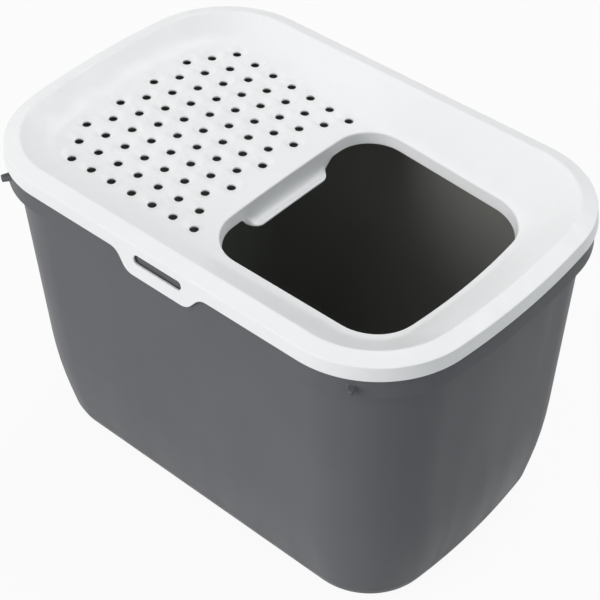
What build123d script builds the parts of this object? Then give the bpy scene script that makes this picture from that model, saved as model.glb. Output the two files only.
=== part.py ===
from build123d import *
import os
from math import ceil, cos, pi, radians, sin, sqrt, tan

# Top entry litter box: a deep thin-walled bin and a lift-off lid.
# The lid has a perforated deck to step on and an entry opening.
# Frame: millimetres, +Z up, origin on the floor under the middle of the bin.
# X runs along the long side, and the entry opening is at the +X end of the lid.

# ---- lid outline, taken at the ridge where the skirt meets the sloping border
LENGTH = 585.0              # over the ridge, end to end
WIDTH = 389.0               # over the ridge, side to side
END_BOW = 22.0              # how far the short ends bulge beyond their corners
CORNER_R = 88.0             # corner radius in plan
RIDGE_Z = 390.0             # height of the ridge above the floor

# ---- lid shell
LID_WALL = 2.5              # wall thickness of the lid
SKIRT_DROP = 15.3           # skirt height below the ridge
SKIRT_FLARE = 7.8           # degrees that the skirt leans outwards
BORDER_WIDTH = 17.0         # plan width of the sloping border inside the ridge
BORDER_RISE = 5.5           # height above the ridge at which border and dish would meet in a sharp crest
CREST_CUT = 0.42            # how much of that sharp crest is levelled off
RIDGE_ROUND = 1.6           # radius along the ridge
CREST_ROUND = 4.0           # radius where the crest runs into the dish
DISH_SLOPE = 35.0           # degrees from level, of the dished surface inside the crest
DISH_ROUND = 20.0           # inside radius where the slope runs into the deck, kept as one flat step
DECK_DROP = 20.5            # deck below the ridge, measured at the middle of the lid
DECK_TILT = 2.2             # degrees that the deck falls towards the entry end

# ---- side grip tabs on the skirt, one at the middle of each long side
TAB_DROP = 34.5             # lower edge of the tab below the ridge
TAB_BASE = 113.0            # width of the tab where it leaves the skirt, before rounding
TAB_TIP = 81.0              # width of the tab at its lower edge, before rounding
TAB_ROUND = 17.0            # radius of the tab's outer and inner corners
TAB_SLOT_LENGTH = 64.0      # finger slot through the tab
TAB_SLOT_HEIGHT = 8.5
TAB_SLOT_DROP = 13.8        # slot centre line below the ridge

# ---- entry opening in the deck, with a turned-down flange
ENTRY_NEAR = -9.0           # X of its inner edge
ENTRY_FAR = 222.0           # X of its outer edge
ENTRY_NEAR_WIDTH = 258.0    # width at the inner edge
ENTRY_FAR_WIDTH = 243.0     # width at the outer edge
ENTRY_R = 45.0              # corner radius of the opening
ENTRY_FAR_BOW = 10.0        # bulge of the outer edge, towards +X
FLANGE_DROP = 14.0          # flange depth below the deck surface
FLANGE_DRAFT = 2.4          # how far the flange leans in over its depth
FLANGE_ROUND = 2.0          # radius of the rolled edge between deck and flange

# ---- grip lip under the inner edge of the entry opening
GRIP_LENGTH = 118.0         # along Y
GRIP_DROP = 27.5            # lip's top surface below the deck
GRIP_REACH = 10.0           # how far the lip stands out from the wall above it
GRIP_SWEEP_R = 9.0          # inside radius between the flange and the lip
GRIP_CORNER_R = 9.0         # radius of the lip's two free corners

# ---- drain holes: a staggered field of funnel dimples with a round hole each
HOLE_ROWS = 11              # rows that run along X, counted across the lid
HOLES_PER_ROW = 7
HOLE_D = 9.2
DIMPLE_D = 26.0             # width of the funnel at the deck surface
DIMPLE_DEPTH = 4.2          # depth of the funnel below the deck surface
DIMPLE_SIDES = 10           # flat sides round each funnel and hole, which stand for round ones
HOLE_STEP = 28.2            # spacing of holes in one row
ROW_STEP = 23.4             # spacing of rows, at the middle of the lid's length
FIELD_X = -127.9            # X of the middle of the field
FIELD_TAPER = 0.000338      # share of the row spacing lost per millimetre towards the entry end
FIELD_BOW = 2.0             # how far the outer rows are shifted towards the entry end

# ---- bin
BIN_WALL = 2.4              # wall thickness of the bin
FLOOR_WALL = 3.0            # thickness of the bin's floor
MOUTH_HALF_LENGTH = 283.0   # outside of the wall at the height of the ridge
MOUTH_HALF_WIDTH = 186.8
MOUTH_BOW = 20.0
MOUTH_R = 85.0
BASE_HALF_LENGTH = 265.7    # outside of the straight wall, carried on down to the floor
BASE_HALF_WIDTH = 165.9
BASE_BOW = 15.2
BASE_R = 76.5
KNEE_RISE = 110.0           # height above the floor where the wall starts to lean in more
KNEE_LEAN = 12.2            # how much further in it comes by the floor
KNEE_ROUND = 600.0          # large radius that blends the two slopes
HEEL_ROUND = 28.0           # radius between the wall and the floor

# ---- bin rim: a flat top turned down as an outer lip
SEAT_GAP = 0.3              # clearance between the rim's top and the lid's border above it
LIP_CLEARANCE = 0.6         # clearance between the lip and the inside of the skirt, at the ridge
LIP_WALL = 2.2              # thickness of the rim's top and of its outer lip
LIP_DROP = 37.0             # lower edge of the lip below the ridge
LIP_FLARE = 4.0             # degrees that the lip leans outwards

# ---- finger ledges on the outer lip, one round each corner
LEDGE_REACH = 8.0           # how far a ledge stands out from the lip's lower edge
LEDGE_DROP = 24.0           # its top face below the ridge
LEDGE_EDGE = 4.0            # thickness at its outer edge
LEDGE_ARC = 27.0            # degrees of the corner that it covers
LEDGE_MIDDLE = 56.0         # degrees from the long axis to its middle

CHORD_TURN = 30.0           # degrees: the most that one flat step of a round turns


# ---------------------------------------------------------------- plan outlines

def plan_face(half_length, half_width, bow, corner):
    """Rounded rectangle whose short ends bulge outwards by bow."""
    square = half_length - bow
    side_near = Line((-square, -half_width), (square, -half_width))
    end_right = ThreePointArc((square, -half_width), (half_length, 0), (square, half_width))
    side_far = Line((square, half_width), (-square, half_width))
    end_left = ThreePointArc((-square, half_width), (-half_length, 0), (-square, -half_width))
    face = make_face([side_near, end_right, side_far, end_left])
    return fillet(face.vertices(), corner)


def end_radius():
    """Radius of the lid's bulging ends."""
    half = WIDTH / 2
    return (half**2 + END_BOW**2) / (2 * END_BOW)


def lid_plan(inset):
    """The lid's outline, moved inwards by inset all round and still parallel to itself."""
    radius = end_radius() - inset
    half_width = WIDTH / 2 - inset
    bow = radius - sqrt(radius**2 - half_width**2)
    return plan_face(LENGTH / 2 - inset, half_width, bow, CORNER_R - inset)


def corner_centre():
    """Plan position of the centre that the lid outline's corner arcs share."""
    y = WIDTH / 2 - CORNER_R
    reach = end_radius() - CORNER_R
    x = LENGTH / 2 - end_radius() + sqrt(reach**2 - y**2)
    return x, y


def stack(levels):
    """Solid between level outlines, given as (height, face) pairs, with straight walls between them."""
    return loft([Pos(0, 0, z) * face for z, face in levels], ruled=True)


def bend(before, corner, after, radius):
    """Points along a round of that radius at a profile's corner, as chords that turn by equal steps."""
    way_in = (Vector(*corner) - Vector(*before)).normalized()
    way_out = (Vector(*after) - Vector(*corner)).normalized()
    turn = radians(way_in.get_angle(way_out))
    side = (way_out - way_in * way_in.dot(way_out)).normalized()
    start = Vector(*corner) - way_in * (radius * tan(turn / 2))
    chords = ceil(turn / radians(CHORD_TURN))
    points = []
    for count in range(chords + 1):
        angle = turn * count / chords
        point = start + way_in * (radius * sin(angle)) + side * (radius * (1 - cos(angle)))
        points.append((point.X, point.Y))
    return points


# ---------------------------------------------------------------- lid

DECK = Plane(
    origin=(0, 0, RIDGE_Z - DECK_DROP),
    x_dir=(cos(radians(DECK_TILT)), 0, -sin(radians(DECK_TILT))),
    z_dir=(sin(radians(DECK_TILT)), 0, cos(radians(DECK_TILT))),
)
CREST_Z = RIDGE_Z + BORDER_RISE
LAND_Z = CREST_Z - CREST_CUT
DISH_LOW_Z = RIDGE_Z - DECK_DROP - (LENGTH / 2) * tan(radians(DECK_TILT)) - 2 * LID_WALL


def skirt_inset(drop):
    """Inset of the skirt's outer face at a height below the ridge: it grows outwards, so it is negative."""
    return -drop * tan(radians(SKIRT_FLARE))


def lid_block():
    """Everything inside the skirt and under the border, up to the levelled crest."""
    foot = (skirt_inset(TAB_DROP), RIDGE_Z - TAB_DROP)
    ridge = (0, RIDGE_Z)
    crest = (BORDER_WIDTH, CREST_Z)
    land = (BORDER_WIDTH * (1 - CREST_CUT / BORDER_RISE), LAND_Z)
    profile = [foot] + bend(foot, ridge, crest, RIDGE_ROUND) + [land]
    return stack([(z, lid_plan(inset)) for inset, z in profile])


def under_block():
    """The space under that, one wall further in and one wall lower."""
    foot = (LID_WALL + skirt_inset(TAB_DROP), RIDGE_Z - TAB_DROP)
    ridge = (LID_WALL + skirt_inset(LID_WALL), RIDGE_Z - LID_WALL)
    crest = (BORDER_WIDTH, CREST_Z - LID_WALL)
    return stack([(z, lid_plan(inset)) for inset, z in (foot, ridge, crest)])


def dish_inset(z):
    """Inset of the dish's slope at a height."""
    return BORDER_WIDTH + (CREST_Z - z) / tan(radians(DISH_SLOPE))


def dish_hollow(sink):
    """The hollow inside the crest, down to the deck; sink lowers all its faces by one wall.

    The crest's round carries on past its end, so that the hollow cuts through the level crest."""
    fall = sink / cos(radians(DISH_SLOPE))
    low_z = DISH_LOW_Z - sink
    land_z = LAND_Z - fall
    low = (dish_inset(low_z + fall), low_z)
    slope_end = (dish_inset(LAND_Z), land_z)
    over_crest = bend(low, slope_end, (0, land_z), CREST_ROUND)
    inset, z = over_crest[-2]
    last_inset, last_z = over_crest[-1]
    beyond = 2 * last_inset - inset
    past_crest = [(beyond, 2 * last_z - z), (beyond, CREST_Z + LID_WALL)]
    profile = [low] + over_crest[:-1] + past_crest
    bowl = stack([(z, lid_plan(inset)) for inset, z in profile])
    upward = (Align.CENTER, Align.CENTER, Align.MIN)
    above = DECK * Pos(0, 0, -sink) * Box(2 * LENGTH, 2 * WIDTH, LENGTH, align=upward)
    hollow = bowl & above
    deck_face = hollow.faces().sort_by(Axis.Z)[0]
    reach = (DISH_ROUND + sink) * tan(radians(DISH_SLOPE / 2))
    return chamfer(deck_face.edges(), reach)


def skirt_trim():
    """What is cut away below the skirt's edge, so that only the two side tabs hang lower."""
    low = RIDGE_Z - TAB_DROP
    under = low - LID_WALL
    edge = RIDGE_Z - SKIRT_DROP
    outline = Polyline(
        (-LENGTH, under),
        (-LENGTH, edge),
        (-TAB_BASE / 2, edge),
        (-TAB_TIP / 2, low),
        (TAB_TIP / 2, low),
        (TAB_BASE / 2, edge),
        (LENGTH, edge),
        (LENGTH, under),
        close=True,
    )
    face = make_face(outline)
    bends = face.vertices().filter_by(lambda v: abs(v.X) < TAB_BASE)
    face = fillet(bends, TAB_ROUND)
    below = extrude(Plane.XZ * face, WIDTH, both=True)
    middle = lid_plan(BORDER_WIDTH / 2)
    return below - stack([(under, middle), (RIDGE_Z, middle)])


def tab_slot():
    """Finger slot through both side tabs."""
    slot = Plane.XZ * Pos(0, RIDGE_Z - TAB_SLOT_DROP) * SlotOverall(TAB_SLOT_LENGTH, TAB_SLOT_HEIGHT)
    through = extrude(slot, WIDTH, both=True)
    return through - Box(LENGTH, WIDTH - BORDER_WIDTH, 2 * LENGTH)


def entry_plan(inset):
    """Outline of the entry opening: wider at its inner edge, with a bowed outer edge."""
    near = ENTRY_NEAR + inset
    far = ENTRY_FAR - inset
    near_half = ENTRY_NEAR_WIDTH / 2 - inset
    far_half = ENTRY_FAR_WIDTH / 2 - inset
    far_corner = far - ENTRY_FAR_BOW
    side_low = Line((near, -near_half), (far_corner, -far_half))
    edge_far = ThreePointArc((far_corner, -far_half), (far, 0), (far_corner, far_half))
    side_high = Line((far_corner, far_half), (near, near_half))
    edge_near = Line((near, near_half), (near, -near_half))
    face = make_face([side_low, edge_far, side_high, edge_near])
    return fillet(face.vertices(), ENTRY_R - inset)


def entry_flange():
    """Outside of the turned-down flange, from inside the deck plate to its lower edge."""
    levels = [
        (-FLANGE_DROP, entry_plan(FLANGE_DRAFT - LID_WALL)),
        (-LID_WALL / 2, entry_plan(-LID_WALL)),
    ]
    return DECK * stack(levels)


def entry_void():
    """The hole through deck and flange: drafted below, and rounded over at the deck."""
    below = (FLANGE_DRAFT, -FLANGE_DROP - LID_WALL)
    rolled = bend((0, -FLANGE_DROP), (0, 0), (-FLANGE_DROP, 0), FLANGE_ROUND)
    above = (-FLANGE_ROUND, 2 * FLANGE_ROUND)
    return DECK * stack([(z, entry_plan(inset)) for inset, z in [below] + rolled + [above]])


def grip_recess():
    """Clears the drafted flange in front of the grip's upright wall."""
    size = (GRIP_REACH, GRIP_LENGTH, FLANGE_DROP)
    corner = (Align.MIN, Align.CENTER, Align.MAX)
    return DECK * Pos(ENTRY_NEAR, 0, -FLANGE_ROUND) * Box(*size, align=corner)


def grip_lip():
    """Wall that hangs from the opening's inner edge and curves out into a lip to lift the lid by."""
    back = ENTRY_NEAR - LID_WALL
    tip = ENTRY_NEAR + GRIP_REACH
    under = -GRIP_DROP - LID_WALL
    section = make_face(
        Polyline(
            (back, -FLANGE_ROUND),
            (back, under),
            (tip, under),
            (tip, -GRIP_DROP),
            (ENTRY_NEAR, -GRIP_DROP),
            (ENTRY_NEAR, -FLANGE_ROUND),
            close=True,
        )
    )
    inner = section.vertices().sort_by_distance((ENTRY_NEAR, -GRIP_DROP))[0]
    section = fillet(inner, GRIP_SWEEP_R)
    outer = section.vertices().sort_by_distance((back, under))[0]
    section = fillet(outer, GRIP_SWEEP_R + LID_WALL)
    lip = extrude(Plane.XZ * section, GRIP_LENGTH / 2, both=True)
    behind = GRIP_LENGTH / 2
    outline = Pos(tip - behind, 0) * RectangleRounded(2 * behind, GRIP_LENGTH, GRIP_CORNER_R)
    front = extrude(outline, 2 * under, both=True)
    return DECK * (lip & front)


def hole_places():
    """Deck positions of the drain holes: a staggered field that narrows a little towards the entry."""
    places = []
    middle = (HOLE_ROWS - 1) / 2
    for row in range(HOLE_ROWS):
        outermost = row in (0, HOLE_ROWS - 1)
        first = 0 if outermost else -2 + row % 2
        for count in range(HOLES_PER_ROW):
            column = first + 2 * count - (HOLES_PER_ROW - 2)
            x = FIELD_X + column * HOLE_STEP / 2
            y = (middle - row) * ROW_STEP * (1 - FIELD_TAPER * x)
            bow = FIELD_BOW * (y / (middle * ROW_STEP)) ** 2
            places.append((x + bow, y))
    return places


def ring_points(inner_r, z):
    """Corners of a regular polygon whose flat sides lie inner_r from its middle, closed."""
    step = 2 * pi / DIMPLE_SIDES
    reach = inner_r / cos(step / 2)
    turns = [step * count for count in range(DIMPLE_SIDES + 1)]
    return [(reach * cos(turn), reach * sin(turn), z) for turn in turns]


def frustum(low_r, low, high_r, high):
    """Frustum about Z with flat sides, its radii measured to the sides."""
    foot = ring_points(low_r, low)
    head = ring_points(high_r, high)
    faces = [make_face(Polyline(*ring[:-1], close=True)) for ring in (foot, head)]
    for place in range(DIMPLE_SIDES):
        after = place + 1
        side = Polyline(foot[place], foot[after], head[after], head[place], close=True)
        faces.append(make_face(side))
    return Solid(Shell(faces))


def funnel():
    """Cutter for one dimple and its drain hole, with the deck surface at height zero."""
    hole_r = HOLE_D / 2
    spread = (DIMPLE_D / 2 - hole_r) / DIMPLE_DEPTH
    over = LID_WALL / 4
    bowl = frustum(hole_r, -DIMPLE_DEPTH, DIMPLE_D / 2 + spread * over, over)
    return bowl + frustum(hole_r, -DIMPLE_DEPTH - 2 * LID_WALL, hole_r, -DIMPLE_DEPTH)


def boss():
    """The same dimple seen from underneath, one wall further out, before the funnel is cut."""
    foot_r = HOLE_D / 2 + LID_WALL / 2
    low = -DIMPLE_DEPTH - LID_WALL
    return frustum(foot_r, low, DIMPLE_D / 2, -LID_WALL / 2)


def make_lid():
    shell = lid_block() - dish_hollow(0)
    lid = shell - (under_block() - dish_hollow(LID_WALL))
    lid = lid - skirt_trim()
    lid = lid - tab_slot()
    lid = lid + entry_flange()
    lid = lid - entry_void()
    lid = lid - grip_recess()
    lid = lid + grip_lip()
    one_boss = boss()
    one_funnel = funnel()
    places = hole_places()
    lid = lid + [DECK * Pos(x, y, 0) * one_boss for x, y in places]
    return lid - [DECK * Pos(x, y, 0) * one_funnel for x, y in places]


# ---------------------------------------------------------------- bin

def wall_plan(z, inset):
    """Outside outline of the bin's straight wall at height z, shrunk by inset."""
    share = z / RIDGE_Z
    half_length = BASE_HALF_LENGTH + (MOUTH_HALF_LENGTH - BASE_HALF_LENGTH) * share
    half_width = BASE_HALF_WIDTH + (MOUTH_HALF_WIDTH - BASE_HALF_WIDTH) * share
    bow = BASE_BOW + (MOUTH_BOW - BASE_BOW) * share
    corner = BASE_R + (MOUTH_R - BASE_R) * share
    return plan_face(half_length - inset, half_width - inset, bow, corner - inset)


def bin_body(inset, floor):
    """The bin as a solid block: its outside, or, shrunk by inset, the space inside it, open at the top."""
    heel = (KNEE_LEAN * (KNEE_RISE - floor) / KNEE_RISE, floor)
    knee = (0, KNEE_RISE)
    top = (0, rim_top() + inset)
    profile = bend((heel[0] + HEEL_ROUND, floor), heel, knee, HEEL_ROUND - inset)
    profile += bend(heel, knee, top, KNEE_ROUND - inset)
    profile.append(top)
    return stack([(z, wall_plan(z, inset + lean)) for lean, z in profile])


def rim_top():
    """Height of the rim's top face, just under the lid's border."""
    return RIDGE_Z - LID_WALL - SEAT_GAP


def lip_inset(drop):
    """Inset of the lip's outer face from the lid outline, at a height below the ridge."""
    start = LID_WALL + LIP_CLEARANCE
    return start - drop * tan(radians(LIP_FLARE))


def rim_block(inset, top):
    """Solid inside the outer lip, from its lower edge up to top."""
    low = RIDGE_Z - LIP_DROP
    return stack(
        [
            (low, lid_plan(lip_inset(LIP_DROP) + inset)),
            (top, lid_plan(lip_inset(RIDGE_Z - top) + inset)),
        ]
    )


def ledges():
    """Finger ledges that stand out from the lip round the four corners, as wedges from inside the lip."""
    low = RIDGE_Z - LIP_DROP
    top = RIDGE_Z - LEDGE_DROP
    lip_face = CORNER_R - lip_inset(LIP_DROP)
    outer = lip_face + LEDGE_REACH
    root = lip_face / 2
    profile = make_face(
        Polyline(
            (root, low),
            (lip_face, low),
            (outer, top - LEDGE_EDGE),
            (outer, top),
            (root, top),
            close=True,
        )
    )
    wedge = revolve(Plane.XZ * profile, Axis.Z, LEDGE_ARC)
    x, y = corner_centre()
    ledge = Pos(x, y, 0) * Rot(0, 0, LEDGE_MIDDLE - LEDGE_ARC / 2) * wedge
    row = [ledge, mirror(ledge, Plane.YZ)]
    return row + [mirror(one, Plane.XZ) for one in row]


def make_bin():
    rim = rim_block(0, rim_top())
    for ledge in ledges():
        rim = rim + ledge
    rim = rim - rim_block(LIP_WALL, rim_top() - LIP_WALL)
    tub = bin_body(0, 0) + rim
    return tub - bin_body(BIN_WALL, FLOOR_WALL)


def save(name, solid):
    os.makedirs("parts", exist_ok=True)
    export_step(solid, f"parts/{name}.step")
    box = solid.bounding_box()
    print(name, "solids", len(solid.solids()), "volume", round(solid.volume), "mm3")
    print(name, "from", box.min, "to", box.max)


if __name__ == "__main__":
    save("bin", make_bin())
    save("lid", make_lid())
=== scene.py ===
# %% [markdown]
# # A top entry litter box in two mouldings
#
# The real object is two pieces of injection-moulded plastic: a deep grey bin, and a white lid that lifts
# off it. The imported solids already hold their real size, so this lesson loads them first and keeps their
# box. The looks are built around that frame: two smooth shells worked out with numpy, one for each
# moulding, and one plastic finish for each.
#
# All lengths below are in millimetres. A mesh is turned to metres only when it is handed over.

# %% Load the frame and keep its box
import math

import bmesh
import bpy
import numpy as np
from mathutils import Matrix, Vector
from mathutils.geometry import delaunay_2d_cdt


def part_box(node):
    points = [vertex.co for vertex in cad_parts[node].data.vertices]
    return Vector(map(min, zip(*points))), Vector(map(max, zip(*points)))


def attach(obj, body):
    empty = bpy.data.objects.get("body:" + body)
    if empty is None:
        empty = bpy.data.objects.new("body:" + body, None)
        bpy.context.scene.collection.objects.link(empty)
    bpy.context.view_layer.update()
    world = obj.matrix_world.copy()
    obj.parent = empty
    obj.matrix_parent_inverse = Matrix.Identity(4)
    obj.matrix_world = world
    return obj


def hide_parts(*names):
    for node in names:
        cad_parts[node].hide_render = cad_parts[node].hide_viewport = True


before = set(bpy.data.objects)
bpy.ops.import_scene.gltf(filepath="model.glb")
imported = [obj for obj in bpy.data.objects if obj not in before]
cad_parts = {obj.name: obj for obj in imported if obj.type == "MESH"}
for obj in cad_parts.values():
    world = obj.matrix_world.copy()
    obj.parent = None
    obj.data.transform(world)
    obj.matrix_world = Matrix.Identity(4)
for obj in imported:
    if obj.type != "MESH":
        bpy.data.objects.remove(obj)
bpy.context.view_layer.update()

MM = 0.001
lid_low, lid_high = (np.array(corner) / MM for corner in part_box("lid"))
bin_low, bin_high = (np.array(corner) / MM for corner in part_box("bin"))
print("lid box, mm", lid_low.round(1), lid_high.round(1))
print("bin box, mm", bin_low.round(1), bin_high.round(1))

# %% [markdown]
# ## Sizes taken from the frame
#
# A moulder draws everything from one line: the ridge, where the lid's skirt meets its sloping border. Its
# height and its length follow from the boxes of the solids, so the shells can't drift away from them. The
# skirt leans outwards by its flare below that line, and that is what the lid's box measures.

# %% The ridge line and the walls
SKIRT_FLARE = math.tan(math.radians(7.8))
SKIRT_DROP = 15.3
TAB_DROP = 34.5
BORDER_RISE = 5.5
LID_WALL = 2.5
SEAT_GAP = 0.3
RIDGE_Z = bin_high[2] + LID_WALL + SEAT_GAP
HALF_LENGTH = lid_high[0] - SKIRT_DROP * SKIRT_FLARE
HALF_WIDTH = lid_high[1] - TAB_DROP * SKIRT_FLARE
END_BOW = 22.0
END_RADIUS = (HALF_WIDTH**2 + END_BOW**2) / (2 * END_BOW)
CORNER_RADIUS = 110.0
print("ridge at", round(RIDGE_Z, 2), "half length", round(HALF_LENGTH, 2), "half width", round(HALF_WIDTH, 2))

# %% [markdown]
# ## One outline for everything
#
# Seen from above, bin and lid have straight long sides, short ends that bulge a little, and generous
# corners. Such an outline is three arcs per quarter, so it is worked out once for the first quarter and
# mirrored. All outlines get the same number of points in the same order, and then a wall is simply one
# outline laid above the other. Points lie closer together where a tab or a lug begins.

# %% Outline rings
END_STEPS = 24
CORNER_STEPS = 46
SIDE_STOPS = ((0, 36), (70, 10), (178, 0))
LUG_DEGREES = (60.2, 63.2)
LUG_RAMP = 0.3


def end_and_corner(half_length, half_width, end_radius, corner_radius):
    """X of the end arc's centre, centre of the corner arc, and the angle at which the two arcs meet.

    The arcs touch, so their centres lie (end_radius - corner_radius) apart."""
    end_x = half_length - end_radius
    corner_y = half_width - corner_radius
    corner_x = end_x + np.sqrt((end_radius - corner_radius) ** 2 - corner_y**2)
    return end_x, corner_x, corner_y, np.arctan2(corner_y, corner_x - end_x)


RIDGE_PLAN = (HALF_LENGTH, HALF_WIDTH, END_RADIUS, CORNER_RADIUS)
RIDGE_END_X, RIDGE_CORNER_X, RIDGE_CORNER_Y, RIDGE_TURN = end_and_corner(*RIDGE_PLAN)


def quarter_shares():
    """Shares along the end arc, the corner arc and the side, each from 0 up to but without 1."""
    end = np.linspace(0, 1, END_STEPS, endpoint=False)
    stops = [(degrees + ramp - math.degrees(RIDGE_TURN)) / (90 - math.degrees(RIDGE_TURN))
             for degrees in LUG_DEGREES for ramp in (-LUG_RAMP, LUG_RAMP)]
    corner = np.unique(np.concatenate([np.linspace(0, 1, CORNER_STEPS, endpoint=False), stops]))
    side_end = SIDE_STOPS[-1][0]
    side = np.concatenate([np.linspace(1 - far / side_end, 1 - near / side_end, steps, endpoint=False)
                           for (near, steps), (far, _) in reversed(list(zip(SIDE_STOPS, SIDE_STOPS[1:])))])
    return end, corner, side


def ring(half_length, half_width, end_radius, corner_radius):
    """Closed outline, counter-clockwise from +X, of shape (points, 2), from three arcs per quarter."""
    end_x, corner_x, corner_y, turn = end_and_corner(half_length, half_width, end_radius, corner_radius)
    end, corner, side = quarter_shares()
    sweep = turn + (np.pi / 2 - turn) * corner
    x = np.concatenate([end_x + end_radius * np.cos(turn * end), corner_x + corner_radius * np.cos(sweep),
                        corner_x * (1 - side)])
    y = np.concatenate([end_radius * np.sin(turn * end), corner_y + corner_radius * np.sin(sweep),
                        half_width + 0 * side])
    quarter = np.stack([x, y], -1)
    back = np.concatenate([quarter, [[0, half_width]]])[:0:-1] * [-1, 1]
    half = np.concatenate([quarter, back])
    return np.concatenate([half, -half])


def lid_ring(inset):
    """The ridge line moved inwards by inset: all its arcs keep their centres."""
    return ring(*(size - inset for size in RIDGE_PLAN))


ridge = lid_ring(0)
inward = ridge - lid_ring(-1)
AROUND = len(ridge)
print("points round the outline:", AROUND)

# %% [markdown]
# ## A section with rounded corners
#
# Both mouldings are thin walls that turn several corners. A section is drawn as a few sharp corners and a
# radius for each, the way a drawing gives them. Each corner becomes an arc, with one more point just before
# and just after it, so that the flat faces beside it stay flat when the surface is shaded smooth. Corners
# may differ from place to place along the outline, which is how a skirt grows into a tab.

# %% Rounded sections
HOLD = 0.35


def rounded(corners, radii, steps=4):
    """Rounds each inner corner of many polylines at once; corners has the shape (corners, places, axes).

    With unit directions d1 into and d2 out of a corner, turning by t, the arc starts r tan(t/2) before the
    corner. Its points are start + r sin(a) d1 + r (1 - cos(a)) n for a from 0 to t, where n is the part of
    d2 that is square to d1. Returns (points, places, axes), from the first corner to the last."""
    corners = np.asarray(corners, float)
    wide = np.ones(corners.shape[1])
    radii = np.stack([radius * wide for radius in radii])[..., None]
    first, second = corners[1:-1] - corners[:-2], corners[2:] - corners[1:-1]
    len_first = np.linalg.norm(first, axis=-1, keepdims=True)
    len_second = np.linalg.norm(second, axis=-1, keepdims=True)
    d1, d2 = first / len_first, second / len_second
    along = (d1 * d2).sum(-1, keepdims=True)
    across = d2 - d1 * along
    size = np.linalg.norm(across, axis=-1, keepdims=True)
    normal = across / np.maximum(size, 1e-9)
    turn = np.arctan2(size, along)
    tangent = np.maximum(np.tan(turn / 2), 1e-6)
    reach = np.minimum(radii * tangent, 0.46 * np.minimum(len_first, len_second))
    radius = reach / tangent
    start = corners[1:-1] - d1 * reach
    hold_first, hold_second = np.minimum(HOLD, 0.03 * len_first), np.minimum(HOLD, 0.03 * len_second)
    angle = np.linspace(0, 1, steps + 1)[:, None, None, None] * turn
    arc = start + radius * (np.sin(angle) * d1 + (1 - np.cos(angle)) * normal)
    leave = corners[1:-1] + d2 * (reach + hold_second)
    full = np.concatenate([(start - d1 * hold_first)[None], arc, leave[None]]).swapaxes(0, 1)
    return np.concatenate([corners[:1], full.reshape(-1, *corners.shape[1:]), corners[-1:]])


def split_runs(section, longest):
    """Adds evenly spaced rows between two rows of a section that lie further apart than longest."""
    parts = []
    for low, high in zip(section[:-1], section[1:]):
        count = max(1, math.ceil(np.linalg.norm(high - low, axis=-1).max() / longest))
        parts.append(low + (high - low) * np.arange(count)[:, None, None] / count)
    return np.concatenate([*parts, section[-1:]])


# %% [markdown]
# ## From rows of points to a mesh
#
# A grid of points becomes faces by numbering: a point meets its neighbours in its own row and in the next
# one. The patches of one moulding are separate grids that share their border points, so they are welded by
# merging what lies in one place. A welded shell is closed, and only then can its faces be turned outwards
# without doubt. The line that is printed says whether any edge is still open.

# %% Grids and shells
def grid_faces(rows, columns):
    """Four-sided faces of a grid of rows x columns points that is closed round the columns."""
    row = np.arange(rows - 1)[:, None] * columns
    column = np.arange(columns)[None, :]
    right = (column + 1) % columns
    return np.stack([row + column, row + right, row + columns + right, row + columns + column], -1).reshape(-1, 4)


def shell(name, patches):
    """One closed mesh from (points, faces) patches in millimetres: welded, smooth, facing outwards."""
    points, faces, start = [], [], 0
    for patch_points, patch_faces in patches:
        points.append(np.asarray(patch_points, float).reshape(-1, 3))
        faces.extend([[corner + start for corner in face] for face in np.asarray(patch_faces).tolist()])
        start += len(points[-1])
    mesh = bpy.data.meshes.new(name)
    mesh.from_pydata((np.concatenate(points) * MM).tolist(), [], faces)
    work = bmesh.new()
    work.from_mesh(mesh)
    bmesh.ops.remove_doubles(work, verts=work.verts, dist=1e-6)
    bmesh.ops.recalc_face_normals(work, faces=work.faces)
    if work.calc_volume(signed=True) < 0:
        bmesh.ops.reverse_faces(work, faces=work.faces)
    open_edges = sum(not edge.is_manifold for edge in work.edges)
    volume = work.calc_volume() * 1e6
    work.to_mesh(mesh)
    work.free()
    mesh.shade_smooth()
    piece = bpy.data.objects.new(name, mesh)
    bpy.context.scene.collection.objects.link(piece)
    print(name, "faces", len(mesh.polygons), "open edges", open_edges, "volume cm3", round(volume, 1))
    return piece


# %% [markdown]
# ## The dished deck as one height for each place
#
# The cat steps on a deck that falls a little towards the entry and is crowned both ways. All round it, a
# slope climbs to the crest. Two surfaces that meet in a soft hollow are the larger of two heights, with the
# difference smoothed where they are nearly equal. One formula then gives deck, slope and hollow together,
# and the underside is the same formula, one wall lower.

# %% Height of deck and slope
BORDER_WIDTH = 17.0
DISH_ANGLE = math.radians(35.0)
DISH_BLEND = 6.5
DECK_DROP = 20.5
DECK_FALL = 0.0386
CROWN_ALONG = 2.8e-5
CROWN_ACROSS = 8.0e-5


def inset_of(x, y):
    """Distance inside the ridge line: the arc's radius less the distance from its centre, or the side's."""
    along, across = np.abs(x), np.abs(y)
    by_end = END_RADIUS - np.hypot(along - RIDGE_END_X, across)
    by_corner = CORNER_RADIUS - np.hypot(along - RIDGE_CORNER_X, across - RIDGE_CORNER_Y)
    by_side = HALF_WIDTH - across
    at_end = np.arctan2(across, along - RIDGE_END_X) < RIDGE_TURN
    return np.where(at_end, by_end, np.where(along < RIDGE_CORNER_X, by_side, by_corner))


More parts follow.
